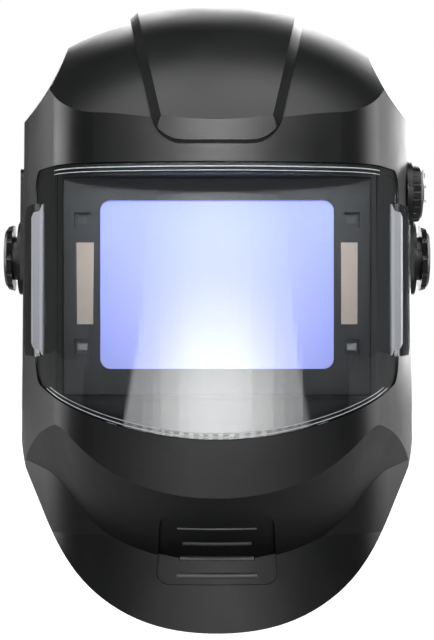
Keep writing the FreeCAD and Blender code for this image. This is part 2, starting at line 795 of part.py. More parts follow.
def make_retainer():
    across = ("-cartridge_half_width-cartridge_gap-sleeve_wall", "cartridge_half_width+cartridge_gap+sleeve_wall")
    up = ("cartridge_low-cartridge_gap-sleeve_wall", "cartridge_top+cartridge_gap+sleeve_wall")
    depth = ("sleeve_back", "sleeve_back+retainer_thick")
    pieces = [box("retainer_plate", across, depth, up)]
    holes = [box("retainer_window", ("-cartridge_half_width+retainer_lip", "cartridge_half_width-retainer_lip"),
                 depth, ("cartridge_low+retainer_lip", "cartridge_top-retainer_lip"))]
    for name, x, z, away in screw_places():
        pieces.append(box(f"retainer_ear_{name}", (f"{x}-screw_boss_half", f"{x}+screw_boss_half"), depth, away))
        holes.append(rod(f"ear_hole_{name}", "y", depth, "screw_radius", x=x, z=z))
        shank = rod(f"shank_{name}", "y", ("sleeve_back-8", depth[1]), "screw_radius", x=x, z=z)
        head = rod(f"head_{name}", "y", (depth[1], f"{depth[1]}+1.8"), "screw_head_radius", x=x, z=z)
        slot = box(f"drive_{name}", (f"{x}-0.4", f"{x}+0.4"), (f"{depth[1]}+1", f"{depth[1]}+1.8"),
                   (f"{z}-screw_head_radius", f"{z}+screw_head_radius"))
        node(f"retainer_screw_{name}", cut(f"screw_{name}", fuse(f"screw_solid_{name}", shank, head), slot))
    node("filter_retainer", cut("retainer", fuse("retainer_solid", *pieces), *holes))


def make_controls():
    face = "sleeve_back+moving_gap"
    for name, x in (("sensitivity_knob", "-control_x"), ("delay_knob", "control_x")):
        shaft = rod(f"{name}_shaft", "y", ("sleeve_back-4", face), "control_shaft", x=x, z="control_z")
        head = rod(f"{name}_head", "y", (face, f"{face}+control_height"), "control_radius", x=x, z="control_z")
        mark = box(f"{name}_mark", (f"{x}-0.4", f"{x}+0.4"), (f"{face}+control_height-1", f"{face}+control_height"),
                   ("control_z", "control_z+control_radius"))
        node(name, cut(f"{name}_body", fuse(f"{name}_solid", shaft, head), mark))
    slider = box("switch_slider", (-3, 3), ("sleeve_back-3.5", "sleeve_back+2.5"), ("control_z-1.5", "control_z+1.5"))
    node("mode_switch", slider)
    node("test_button", rod("button", "y", ("sleeve_back-3.5", "sleeve_back+2"), "button_radius",
                            x="button_x", z="control_z"))
    up = ("tray_z-tray_half_height", "tray_z+tray_half_height")
    block = box("tray_block", ("tray_x-tray_half_width", "tray_x+tray_half_width"),
                ("sleeve_back-tray_depth", "sleeve_back+1"), up)
    lip = box("tray_lip", ("tray_x-4", "tray_x+4"), ("sleeve_back+1", "sleeve_back+3"),
              ("tray_z-tray_half_height", "tray_z-tray_half_height+2"))
    depth = ("sleeve_back-tray_depth+1", "sleeve_back-tray_depth+1+coin_thick")
    room = rod("coin_room", "y", ("sleeve_back-tray_depth", depth[1]), "coin_radius", x="tray_x", z="tray_z")
    tray = node("battery_tray_left", cut("tray", fuse("tray_solid", block, lip), room))
    coin = node("coin_cell_left", rod("coin", "y", depth, "coin_radius", x="tray_x", z="tray_z"))
    mirrored("battery_tray_right", tray)
    mirrored("coin_cell_right", coin)


# Shade dial, its potentiometer and the lead to the cartridge

cable_route = [(66, -117, 28), (66, -103, 28), (76, -86, 30), (87.5, -71, 32), (87.5, -59, 32)]


def make_shade_control():
    radius = "dial_shaft"
    at = {"y": "dial_y", "z": "dial_z"}
    start = "dial_seat_x+moving_gap"
    end = f"{start}+dial_thick"
    rimmed = cone("dial_rim", "x", (start, f"{end}-1.2"), ("dial_radius", "dial_radius-0.5"), **at)
    bevel = cone("dial_bevel", "x", (f"{end}-1.2", end), ("dial_radius-0.5", "dial_radius-2"), **at)
    hub = rod("dial_hub", "x", (end, f"{end}+1.2"), "dial_hub_radius", **at)
    shaft = rod("dial_shaft_rod", "x", ("pot_face_x-4", start), radius, **at)
    grips = [
        rod(f"dial_grip_{n}", "x", (start, f"{end}+1"), 0.9,
            y=f"dial_y+(dial_radius+0.3)*cos({15 * n})", z=f"dial_z+(dial_radius+0.3)*sin({15 * n})")
        for n in range(24)
    ]
    node("shade_dial", cut("dial", fuse("dial_solid", rimmed, bevel, hub, shaft), *grips))
    block = box("pot_block", ("pot_face_x-pot_depth", "pot_face_x"), ("dial_y-pot_half", "dial_y+pot_half"),
                ("dial_z-pot_half", "dial_z+pot_half"))
    bore = rod("pot_bore", "x", ("pot_face_x-5", "pot_face_x"), "dial_shaft+moving_gap", **at)
    node("shade_pot", cut("pot", block, bore))
    tube = cable_tube([Vector(*p) for p in cable_route], size("cable_radius"))
    node("shade_cable", form("cable", tube))
    middle = Vector(*cable_route[2]) * 0.3 + Vector(*cable_route[3]) * 0.7
    along = (Vector(*cable_route[3]) - Vector(*cable_route[2])).normalize()
    clip = Part.makeBox(16, 6, 6, Vector(-3, -3, -3))
    clip.Placement = Placement(middle, Rotation(Vector(0, 0, 1), math.degrees(math.atan2(-along.x, along.y))))
    bore = Part.makeCylinder(size("cable_radius") + size("clip_gap"), 30, middle - along * 15, along)
    node("cable_clip", form("clip", clip.cut(bore).common(mask_solid(wall))))


def cable_tube(points, radius):
    path = []
    start = points[0]
    for before, corner, after in zip(points, points[1:], points[2:]):
        back = (before - corner).normalize()
        ahead = (after - corner).normalize()
        turn = math.pi - back.getAngle(ahead)
        setback = 0.45 * min((before - corner).Length, (after - corner).Length)
        bend = setback / math.tan(turn / 2)
        print("cable bend radius", round(bend, 1))
        first, last = corner + back * setback, corner + ahead * setback
        inward = (back + ahead).normalize()
        middle = corner + inward * (bend / math.cos(turn / 2) - bend)
        path.append(Part.makeLine(start, first))
        path.append(Part.Arc(first, middle, last).toShape())
        start = last
    path.append(Part.makeLine(start, points[-1]))
    profile = Part.Wire(Part.makeCircle(radius, points[0], points[1] - points[0]))
    wire = Part.Wire(path)
    tube = wire.makePipeShell([profile], True, True)
    print("cable volume", round(tube.Volume), "section times length", round(math.pi * radius ** 2 * wire.Length))
    return tube


# Tilt pivots: stud, washer, knob, carrier and stop; the left set is mirrored

def make_pivot():
    seat_x = "pivot_seat_x+moving_gap"
    hub_end = f"{seat_x}+knob_hub"
    end = f"{hub_end}+knob_thick"
    pieces = [
        rod("knob_hub_rod", "x", (seat_x, hub_end), "knob_hub_radius"),
        cone("knob_body", "x", (hub_end, f"{end}-1.6"), ("knob_radius", "knob_radius-0.8")),
        cone("knob_bevel", "x", (f"{end}-1.6", end), ("knob_radius-0.8", "knob_radius-3")),
    ]
    grips = [
        rod(f"knob_grip_{n}", "x", (hub_end, f"{end}+1"), 2.2,
            y=f"(knob_radius+1)*cos({30 * n})", z=f"(knob_radius+1)*sin({30 * n})")
        for n in range(12)
    ]
    bore = rod("knob_bore", "x", ("pivot_seat_x", f"{end}-2.5"), "stud_radius+moving_gap")
    knob = node("tension_knob_left", cut("knob", fuse("knob_solid", *pieces), bore, *grips))
    washer_end = "pivot_inner_x-moving_gap"
    washer_start = f"{washer_end}-washer_thick"
    plate_out = "plate_x+plate_thick+moving_gap"
    plate = box("carrier_plate", (plate_out, f"{plate_out}+carrier_thick"),
                ("-carrier_half_length", "carrier_half_length"), ("-carrier_half_height", "carrier_half_height"))
    boss = rod("carrier_boss", "x", (plate_out, washer_start), "carrier_boss_radius")
    tongue = box("carrier_tongue", ("plate_x-moving_gap", f"{plate_out}+1"), ("-tongue_half", "tongue_half"),
                 ("-slot_half+moving_gap", "slot_half-moving_gap"))
    catch = box("carrier_catch", ("plate_x-moving_gap-1.4", "plate_x-moving_gap"), ("-tongue_half", "tongue_half"),
                ("-slot_half-2", "slot_half+2"))
    lug = box("carrier_lug", (f"{washer_start}-6", washer_start), (-3, 3), (-17, -11))
    shank = rod("stud_hole", "x", (f"{washer_start}-6", f"{washer_start}+1"), "stud_radius")
    carrier = node("carrier_left", cut("carrier", fuse("carrier_solid", plate, boss, tongue, catch, lug), shank))
    stud = node("pivot_stud_left", rod("stud", "x", (f"{washer_start}-6", f"{end}-4"), "stud_radius"))
    disc = rod("washer_disc", "x", (washer_start, washer_end), "washer_radius")
    hole = rod("washer_hole", "x", (washer_start, washer_end), "stud_radius")
    washer = node("pivot_washer_left", cut("washer", disc, hole))
    stop = node("tilt_stop_left", box("stop", (f"{washer_start}-5", "pivot_inner_x"),
                                      ("-3-moving_gap-stop_depth", "-3-moving_gap"), (-17, -13)))
    for name, item in (("tension_knob", knob), ("carrier", carrier), ("pivot_stud", stud),
                       ("pivot_washer", washer), ("tilt_stop", stop)):
        mirrored(f"{name}_right", item)


# Headgear, modelled upright in the headband's frame and then leaned back

def lean(item):
    item.Placement = Placement(Vector(0, 0, size("band_lift")), Rotation(Vector(-1, 0, 0), size("band_tilt")))
    item.setExpression("Placement.Rotation.Angle", bound("band_tilt"))
    item.setExpression("Placement.Base.z", bound("band_lift"))
    return item


def oval(name, across, along, half_height):
    outline = doc.addObject("Part::Ellipse", f"{name}_outline")
    bind(outline, MajorRadius=along, MinorRadius=across)
    outline.Placement = Placement(Vector(), Rotation(Vector(0, 0, 1), 90))
    outline.setExpression("Placement.Base.z", bound(f"-({half_height})"))
    item = doc.addObject("Part::Extrusion", name)
    item.Base = outline
    item.DirMode = "Custom"
    item.Dir = Vector(0, 0, 1)
    item.Solid = True
    bind(item, LengthFwd=f"2*({half_height})")
    return item


def make_headband():
    out = ("head_half_width+band_thick", "head_half_length+band_thick")
    band = cut("band_ring", oval("band_outside", *out, "band_half_height"),
               oval("band_inside", "head_half_width", "head_half_length", "band_half_height+1"))
    node("headband", lean(band))
    for name, span in (("brow_pad", (-150, "brow_pad_end")), ("rear_pad", ("rear_pad_end", 150))):
        ring = cut(f"{name}_ring", oval(f"{name}_outside", "head_half_width", "head_half_length", "pad_half_height"),
                   oval(f"{name}_inside", "head_half_width-pad_thick", "head_half_length-pad_thick",
                        "pad_half_height+1"))
        zone = box(f"{name}_zone", (-100, 100), span, (-40, 40))
        node(name, lean(common(f"{name}_piece", ring, zone)))


def make_side_plate():
    plate = box("plate_block", ("plate_x", "plate_x+plate_thick"), ("-plate_half_length", "plate_half_length"),
                ("plate_low", "plate_top"))
    plate = rounded("plate_rounded", plate, "x", 6)
    bosses = [rod(f"plate_boss_{n}", "x", ("head_half_width-6", "plate_x"), 4, y=y, z=z)
              for n, (y, z) in enumerate(((-27, 8), (27, 2)))]
    slot = box("plate_slot", ("plate_x-1", "plate_x+plate_thick+1"),
               ("-tongue_half-slide_travel-moving_gap", "tongue_half+slide_travel+moving_gap"),
               ("-slot_half", "slot_half"))
    inside = lean(oval("plate_clearance", "head_half_width+band_thick", "head_half_length+band_thick", 30))
    plate = node("side_plate_left", cut("side_plate", fuse("plate_solid", plate, *bosses), slot, inside))
    mirrored("side_plate_right", plate)


def strap_piece(name, inset, span):
    y = ("strap_y-strap_half_width", "strap_y+strap_half_width")
    across, high = f"head_half_width-{inset}", f"strap_height-{inset}"
    discs = []
    for layer, wide, tall in (("out", f"{across}+strap_thick", f"{high}+strap_thick"), ("in", across, high)):
        outline = doc.addObject("Part::Ellipse", f"{name}_{layer}_outline")
        bind(outline, MajorRadius=tall, MinorRadius=wide)
        turn = Rotation(Vector(1, 0, 0), 90) * Rotation(Vector(0, 0, 1), 90)
        outline.Placement = Placement(Vector(), turn)
        outline.setExpression("Placement.Base.y", bound(y[0]))
        outline.setExpression("Placement.Base.z", bound("strap_z"))
        disc = doc.addObject("Part::Extrusion", f"{name}_{layer}")
        disc.Base = outline
        disc.DirMode = "Custom"
        disc.Dir = Vector(0, 1, 0)
        disc.Solid = True
        bind(disc, LengthFwd="2*strap_half_width")
        discs.append(disc)
    zone = box(f"{name}_zone", span, (-100, 100), ("strap_z+3", 200))
    return common(f"{name}_piece", cut(f"{name}_ring", *discs), zone)


def make_straps():
    low = strap_piece("strap_low", "band_thick", ("-strap_overlap", 150))
    high = strap_piece("strap_high", "band_thick-strap_thick-strap_gap", (-150, "strap_overlap"))
    blocker = lean(oval("strap_clearance", "head_half_width+band_thick", "head_half_length+band_thick",
                        "band_half_height"))
    peg_top = "strap_z+strap_height-band_thick+2*strap_thick"
    for name, piece, side in (("left", low, 1), ("right", high, -1)):
        holes = [rod(f"peg_hole_{name}_{n}", "z", (60, 160), "peg_radius-1", x=8 * n, y="strap_y") for n in (-1, 1)]
        holes += [rod(f"spare_hole_{name}_{n}", "z", (60, 160), "spare_hole_radius", x=side * (28 + 9 * n), y="strap_y")
                  for n in range(4)]
        node(f"crown_strap_{name}", cut(f"strap_{name}", piece, blocker, *holes))
    pins = [rod(f"peg_pin_{n}", "z", (f"{peg_top}-5", f"{peg_top}+0.4"), "peg_radius-1", x=8 * n, y="strap_y")
            for n in (-1, 1)]
    bar = box("peg_bar", ("-8-peg_radius", "8+peg_radius"), ("strap_y-peg_radius", "strap_y+peg_radius"),
              (f"{peg_top}+0.2", f"{peg_top}+1.8"))
    node("crown_peg", fuse("peg", *pins, rounded("peg_rounded", bar, "z", 2.5)))


# Ratchet: two racks slide round the back of the band, driven by one pinion

def ring_segment(name, radii, half_height, first, last, mid_z="0"):
    pieces = []
    for part, radius, height in (("out", radii[1], half_height), ("in", radii[0], f"{half_height}+1")):
        disc = doc.addObject("Part::Cylinder", f"{name}_{part}")
        bind(disc, Radius=radius, Height=f"2*({height})")
        if part == "out":
            bind(disc, Angle=f"({last})-({first})")
            disc.Placement = Placement(Vector(), Rotation(Vector(0, 0, 1), 90))
            disc.setExpression("Placement.Rotation.Angle", bound(f"90+({first})"))
        place(disc, 0, "arc_centre_y", f"{mid_z}-({height})")
        pieces.append(disc)
    return cut(name, *pieces)


def make_ratchet():
    wide = "housing_half_angle"
    ends = ("-housing_half_angle", wide)
    block = ring_segment("housing_block", ("housing_inner", "housing_outer"), "housing_half_height", *ends)
    room = ring_segment("housing_room", ("rack_inner-0.5", "rack_outer+0.6"), "rack_half_gap+rack_height+0.6",
                        "-housing_half_angle-5", "housing_half_angle+5")
    shaft_hole = rod("shaft_hole", "y", (104, 125), "ratchet_shaft+moving_gap")
    band = oval("band_clearance", "head_half_width+band_thick", "head_half_length+band_thick", 40)
    node("ratchet_housing", lean(cut("housing", block, room, shaft_hole, band)))
    knob_start = "arc_centre_y+housing_outer+moving_gap"
    knob_end = f"{knob_start}+ratchet_thick"
    grips = [
        rod(f"ratchet_grip_{n}", "y", (knob_start, f"{knob_end}+1"), 1.6,
            x=f"(ratchet_radius+0.6)*cos({20 * n})", z=f"(ratchet_radius+0.6)*sin({20 * n})")
        for n in range(18)
    ]
    body = fuse(
        "ratchet_knob_solid",
        rod("ratchet_knob_rod", "y", (knob_start, f"{knob_end}-2"), "ratchet_radius"),
        cone("ratchet_knob_bevel", "y", (f"{knob_end}-2", knob_end), ("ratchet_radius", "ratchet_radius-2.5")))
    bore = rod("ratchet_knob_bore", "y", (knob_start, f"{knob_end}-2"), "ratchet_shaft")
    recess = rod("ratchet_recess", "y", (f"{knob_end}-2", knob_end), "ratchet_radius*0.45")
    node("ratchet_knob", lean(cut("ratchet_knob_body", body, bore, recess, *grips)))
    gear = rod("pinion_gear", "y", ("arc_centre_y+rack_inner", "arc_centre_y+rack_outer-0.6"), "pinion_radius")
    shaft = rod("pinion_shaft", "y", ("arc_centre_y+rack_outer-0.6", f"{knob_end}-2"), "ratchet_shaft")
    node("ratchet_pinion", lean(fuse("pinion", gear, shaft)))
    cap = rod("screw_cap", "y", (f"{knob_end}-2", f"{knob_end}-0.6"), "ratchet_shaft+1")
    drive = box("screw_drive", (-0.5, 0.5), (f"{knob_end}-1.2", knob_end), (-10, 10))
    node("ratchet_screw", lean(cut("screw_with_drive", cap, drive)))
    tall = "rack_height/2"
    for name, sign in (("left", 1), ("right", -1)):
        z = f"{sign}*(rack_half_gap+rack_height/2)"
        span = ("-rack_nose_angle", "rack_tail_angle") if sign < 0 else ("-rack_tail_angle", "rack_nose_angle")
        node(f"rack_{name}", lean(ring_segment(f"rack_arc_{name}", ("rack_inner", "rack_outer"), tall, *span, z)))


make_helmet_shell()
make_vent_screen()
make_cover_lens()
make_lens_frame()
make_cartridge()
make_rear_case()
make_retainer()
make_controls()
make_shade_control()
make_pivot()
make_headband()
make_side_plate()
make_straps()
make_ratchet()

doc.recompute()
for item in doc.Objects:
    if {"Invalid", "Error"} & set(item.State):
        raise SystemExit(f"{item.Name} ({item.Label}) did not build")
for name, item in parts.items():
    shape = item.Shape
    if shape.isNull() or not shape.isValid() or shape.Volume <= 0:
        raise SystemExit(f"{name} is not a valid solid")
    if len(shape.Solids) != 1:
        print(name, "has", len(shape.Solids), "solids")
os.makedirs("parts", exist_ok=True)
for name, item in parts.items():
    item.Shape.exportStep(f"parts/{name}.step")
print(len(parts), "sub-parts")
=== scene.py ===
import json
import math

import bmesh
import bpy
from mathutils import Matrix, Vector
from mathutils.bvhtree import BVHTree


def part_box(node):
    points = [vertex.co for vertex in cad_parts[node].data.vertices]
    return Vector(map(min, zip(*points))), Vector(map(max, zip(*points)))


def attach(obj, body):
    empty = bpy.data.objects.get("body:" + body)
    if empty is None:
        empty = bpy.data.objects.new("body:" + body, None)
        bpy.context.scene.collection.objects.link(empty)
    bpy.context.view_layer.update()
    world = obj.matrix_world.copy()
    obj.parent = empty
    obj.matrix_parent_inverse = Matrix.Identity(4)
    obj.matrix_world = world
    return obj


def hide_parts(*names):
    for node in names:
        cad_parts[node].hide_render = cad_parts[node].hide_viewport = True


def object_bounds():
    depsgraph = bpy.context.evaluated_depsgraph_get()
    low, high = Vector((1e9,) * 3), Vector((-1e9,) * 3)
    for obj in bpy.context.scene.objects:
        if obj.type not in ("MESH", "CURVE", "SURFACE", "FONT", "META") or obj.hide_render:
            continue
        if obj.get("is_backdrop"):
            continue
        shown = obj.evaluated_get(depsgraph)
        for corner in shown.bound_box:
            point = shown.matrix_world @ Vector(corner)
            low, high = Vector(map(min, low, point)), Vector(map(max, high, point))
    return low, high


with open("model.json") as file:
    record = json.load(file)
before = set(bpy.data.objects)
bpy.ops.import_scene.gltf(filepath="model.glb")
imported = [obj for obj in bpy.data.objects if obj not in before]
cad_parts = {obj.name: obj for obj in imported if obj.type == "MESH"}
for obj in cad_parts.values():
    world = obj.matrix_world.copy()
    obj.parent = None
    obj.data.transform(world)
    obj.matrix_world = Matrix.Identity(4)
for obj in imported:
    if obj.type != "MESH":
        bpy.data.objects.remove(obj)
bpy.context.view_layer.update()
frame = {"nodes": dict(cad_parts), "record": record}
nodes = frame["nodes"]
print("frame loaded:", len(nodes), "nodes")

mm = 0.001
bodyOf = {node: body for body, members in frame["record"]["behaviour"]["bodies"].items()
          for node in members}
rayStart = -0.3   # in front of everything, for finding a surface from the front
bpy.context.scene.view_settings.view_transform = "Standard"


# Materials

def toLinear(hexColour):
    channels = [int(hexColour[i:i + 2], 16) / 255 for i in (1, 3, 5)]
    return [c / 12.92 if c <= 0.04045 else ((c + 0.055) / 1.055) ** 2.4 for c in channels] + [1.0]


def addNode(tree, kind, values=None, links=None):
    node = tree.nodes.new(kind)
    for key, value in (values or {}).items():
        if isinstance(key, str) and hasattr(node, key):
            setattr(node, key, value)
        else:
            node.inputs[key].default_value = value
    for key, source in (links or {}).items():
        tree.links.new(source, node.inputs[key])
    return node


socketNames = {
    "base": "Base Color", "ior": "IOR", "coat": "Coat Weight", "coatRoughness": "Coat Roughness",
    "sheen": "Sheen Weight", "sheenRoughness": "Sheen Roughness", "clear": "Transmission Weight",
    "glow": "Emission Strength", "glowColour": "Emission Color", "subsurface": "Subsurface Weight",
}


def newMaterial(name, **settings):
    material = bpy.data.materials.new(name)
    material.use_nodes = True
    tree = material.node_tree
    shader = tree.nodes["Principled BSDF"]
    for key, value in settings.items():
        socket = shader.inputs[socketNames.get(key, key.capitalize())]
        socket.default_value = toLinear(value) if isinstance(value, str) else value
    return material, tree, shader


def surfacePlace(tree):
    return addNode(tree, "ShaderNodeTexCoord").outputs["Object"]


def makeNoise(tree, size, detail, **more):  # size in metres
    return addNode(tree, "ShaderNodeTexNoise", {"Scale": 1 / size, "Detail": detail, **more},
                   {"Vector": surfacePlace(tree)})


def addGrain(tree, shader, size, depth):  # moulded grain, sizes in metres
    noise = makeNoise(tree, size, 2.0)
    bump = addNode(tree, "ShaderNodeBump", {"Strength": 1.0, "Distance": depth},
                   {"Height": noise.outputs["Fac"]})
    tree.links.new(bump.outputs["Normal"], shader.inputs["Normal"])


def addMottle(tree, shader, size, low, high):  # slow change of roughness over the surface
    noise = makeNoise(tree, size, 3.0)
    spread = addNode(tree, "ShaderNodeMapRange",
                     {"From Min": 0.3, "From Max": 0.7, "To Min": low, "To Max": high},
                     {"Value": noise.outputs["Fac"]})
    tree.links.new(spread.outputs["Result"], shader.inputs["Roughness"])


def tint(tree, shader, factor, low, high):  # base colour between two colours
    mix = addNode(tree, "ShaderNodeMix", {"data_type": "RGBA", 6: toLinear(low), 7: toLinear(high)},
                  {0: factor})
    tree.links.new(mix.outputs[2], shader.inputs["Base Color"])


def makeShellNylon():  # glass-filled nylon, injection moulded: satin black with a fine spark-eroded grain
    material, tree, shader = newMaterial("mouldedBlackNylon", base="#111213", roughness=0.38, ior=1.53)
    addGrain(tree, shader, 0.7 * mm, 0.035 * mm)
    addMottle(tree, shader, 35 * mm, 0.33, 0.43)
    scuff = makeNoise(tree, 9 * mm, 5.0, Roughness=0.7)
    faint = addNode(tree, "ShaderNodeMapRange", {"From Min": 0.55, "From Max": 0.8},
                    {"Value": scuff.outputs["Fac"]})
    tint(tree, shader, faint.outputs["Result"], "#0f1011", "#1b1c1e")
    return material


def makeMattNylon():  # the same nylon with a coarser, duller texture, behind the lens
    material, tree, shader = newMaterial("mattBlackNylon", base="#0b0b0c", roughness=0.6, ior=1.53)
    addGrain(tree, shader, 1.0 * mm, 0.05 * mm)
    addMottle(tree, shader, 20 * mm, 0.52, 0.68)
    return material


def makeSmoothPlastic(name, base, roughness):  # small mouldings: a finer grain and more gloss
    material, tree, shader = newMaterial(name, base=base, roughness=roughness, ior=1.53)
    addGrain(tree, shader, 0.5 * mm, 0.015 * mm)
    addMottle(tree, shader, 8 * mm, roughness - 0.06, roughness + 0.08)
    return material


def makeClearPolycarbonate():  # hard-coated clear sheet; light passes to what lies behind it
    material, tree, shader = newMaterial("clearPolycarbonate", base="#f6f9fb", roughness=0.02, ior=1.585,
                                         clear=1.0, coat=0.8, coatRoughness=0.02)
    path = addNode(tree, "ShaderNodeLightPath")
    through = addNode(tree, "ShaderNodeBsdfTransparent", {"Color": (0.93, 0.95, 0.96, 1.0)})
    mix = addNode(tree, "ShaderNodeMixShader", {}, {
        0: path.outputs["Is Shadow Ray"], 1: shader.outputs["BSDF"], 2: through.outputs["BSDF"]})
    tree.links.new(mix.outputs["Shader"], tree.nodes["Material Output"].inputs["Surface"])
    return material


def makeLensEdge():  # the cut edge of the clear sheet, painted pale: a painted highlight of its lit edge
    material, tree, shader = newMaterial("litEdgePaintedHighlight", base="#dfe6ea", roughness=0.25, ior=1.585,
                                         coat=0.6)
    addMottle(tree, shader, 6 * mm, 0.18, 0.4)
    return material


coating = {
    # pale colour of the middle: a painted reflection of a bright light in front
    "inner": "#b4b9ff",
    "outer": "#8a95ff",
    "wearerSide": "#0d2016",   # dark green welding glass
    "dropZ": 30 * mm,          # the palest place of the painted reflection is this far under the middle
    "reachX": 56 * mm,
    "reachZ": 74 * mm,
    "return": 0.38,            # painted glow of the front face: a painted reflection, though the glass is no lamp
    "paintedGlowColour": "#d0d8ff",
}


def makeFilterGlass():  # filter with an interference coating: a blue-violet mirror, paler low in the middle as a painted reflection of a bright light in front, and its front face glows as a painted reflection
    c = coating
    material, tree, shader = newMaterial("coatedFilterGlass", base="#a0a8ff", roughness=0.45, coat=0.1,
                                         coatRoughness=0.08, glowColour=c["paintedGlowColour"])
    low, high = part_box("filter_glass")
    middle = (low + high) / 2
    place = surfacePlace(tree)
    centred = addNode(tree, "ShaderNodeVectorMath",
                      {"operation": "SUBTRACT", 1: tuple(middle - Vector((0, 0, c["dropZ"])))}, {0: place})
    squeezed = addNode(tree, "ShaderNodeVectorMath",
                       {"operation": "MULTIPLY", 1: (1 / c["reachX"], 0.0, 1 / c["reachZ"])},
                       {0: centred.outputs["Vector"]})
    reach = addNode(tree, "ShaderNodeVectorMath", {"operation": "LENGTH"}, {0: squeezed.outputs["Vector"]})
    # painted reflection: pale low in the middle, fading out to the coating's own blue-violet at the edges
    fade = addNode(tree, "ShaderNodeMapRange",
                   {"interpolation_type": "SMOOTHSTEP", "From Min": 0.2, "From Max": 1.1},
                   {"Value": reach.outputs["Value"]})
    coatingAndReflection = addNode(tree, "ShaderNodeMix",
                     {"data_type": "RGBA", 6: toLinear(c["inner"]), 7: toLinear(c["outer"])},
                     {0: fade.outputs["Result"]})
    depth = addNode(tree, "ShaderNodeSeparateXYZ", {}, {0: place})
    front = addNode(tree, "ShaderNodeMath", {"operation": "LESS_THAN", 1: middle.y}, {0: depth.outputs["Y"]})
    both = addNode(tree, "ShaderNodeMix", {"data_type": "RGBA", 6: toLinear(c["wearerSide"])},
                   {0: front.outputs[0], 7: coatingAndReflection.outputs[2]})
    tree.links.new(both.outputs[2], shader.inputs["Base Color"])
    # the front face glows: a painted reflection, though the glass is no lamp
    paintedGlowStrength = addNode(tree, "ShaderNodeMath", {"operation": "MULTIPLY", 1: c["return"]}, {0: front.outputs[0]})
    tree.links.new(paintedGlowStrength.outputs[0], shader.inputs["Emission Strength"])
    return material


def makeSolarCell():  # amorphous silicon strip under a plain beige diffuser
    material, tree, shader = newMaterial("beigeSolarCell", base="#e6dacd", roughness=0.4, coat=0.3)
    cloud = makeNoise(tree, 6 * mm, 3.0)
    tint(tree, shader, cloud.outputs["Fac"], "#cdbdad", "#bba999")
    addMottle(tree, shader, 5 * mm, 0.32, 0.48)
    return material


def makeRubber():  # friction washers, gasket and vent screen: dull, with a coarse grain
    material, tree, shader = newMaterial("blackRubber", base="#141414", roughness=0.75, ior=1.52)
    addGrain(tree, shader, 0.6 * mm, 0.04 * mm)
    addMottle(tree, shader, 10 * mm, 0.65, 0.85)
    return material


def makeZincSteel():  # zinc-plated steel: pale metal with uneven gloss
    material, tree, shader = newMaterial("zincPlatedSteel", base="#b9b8b3", roughness=0.32, metallic=1.0)
    addGrain(tree, shader, 0.35 * mm, 0.01 * mm)
    addMottle(tree, shader, 3 * mm, 0.25, 0.42)
    return material


def makeHeadgearPlastic():  # flexible polypropylene: softer, slightly waxy grey-black
    material, tree, shader = newMaterial("waxyBlackPolypropylene", base="#2a2b2d", roughness=0.46,
                                         ior=1.49, subsurface=0.03)
    addGrain(tree, shader, 1.1 * mm, 0.03 * mm)
    addMottle(tree, shader, 18 * mm, 0.38, 0.54)
    return material


def makeGreyControl():  # grey ABS, so the controls are found against the black case
    material, tree, shader = newMaterial("greyMouldedAbs", base="#7b7d80", roughness=0.4, ior=1.54)
    addGrain(tree, shader, 0.5 * mm, 0.02 * mm)
    addMottle(tree, shader, 4 * mm, 0.34, 0.48)
    return material


def makeBoard():  # green solder mask, paler over its tracks
    material, tree, shader = newMaterial("greenSolderMask", base="#123d24", roughness=0.3, coat=0.4)
    tracks = addNode(tree, "ShaderNodeTexBrick", {"Scale": 1 / (12 * mm), "Mortar Size": 0.03},
                     {"Vector": surfacePlace(tree)})
    tint(tree, shader, tracks.outputs["Fac"], "#123d24", "#1d5a36")
    return material


def makeLed():  # green-tinted cast epoxy
    material, tree, shader = newMaterial("tintedLedEpoxy", base="#2f8f43", roughness=0.12, clear=0.4, ior=1.5)
    addMottle(tree, shader, 1 * mm, 0.08, 0.2)
    return material


def makeSensorGlass():  # phototransistor window, smoky and glossy
    material, tree, shader = newMaterial("smokySensorEpoxy", base="#55534f", roughness=0.12, ior=1.5,
                                         coat=1.0)
    addMottle(tree, shader, 2 * mm, 0.08, 0.2)
    return material


def makeBrowFabric():  # knitted polyester over foam: loops coarser than real so that they show, soft sheen
    material, tree, shader = newMaterial("blackPaddedKnit", base="#202124", roughness=0.9, sheen=0.45,
                                         sheenRoughness=0.5)
    loops = addNode(tree, "ShaderNodeTexVoronoi", {"Scale": 1 / (1.6 * mm)}, {"Vector": surfacePlace(tree)})
    bump = addNode(tree, "ShaderNodeBump", {"Strength": 0.8, "Distance": 0.35 * mm, "invert": True},
                   {"Height": loops.outputs["Distance"]})
    tree.links.new(bump.outputs["Normal"], shader.inputs["Normal"])
    tint(tree, shader, loops.outputs["Distance"], "#1a1b1d", "#37383c")
    return material


def makePaintedSideHighlight():  # the lens sheet painted pale where it bends: a painted highlight
    material, tree, shader = newMaterial("polycarbonatePaintedHighlight", base="#d4d6e0", roughness=0.4, ior=1.585,
                                         clear=0.2)
    addGrain(tree, shader, 0.5 * mm, 0.03 * mm)
    return material


def makeStitch():  # spun thread, coarser than real so that it shows
    material, tree, shader = newMaterial("greyPolyesterThread", base="#55565a", roughness=0.8, sheen=0.3)
    addGrain(tree, shader, 0.4 * mm, 0.1 * mm)
    return material


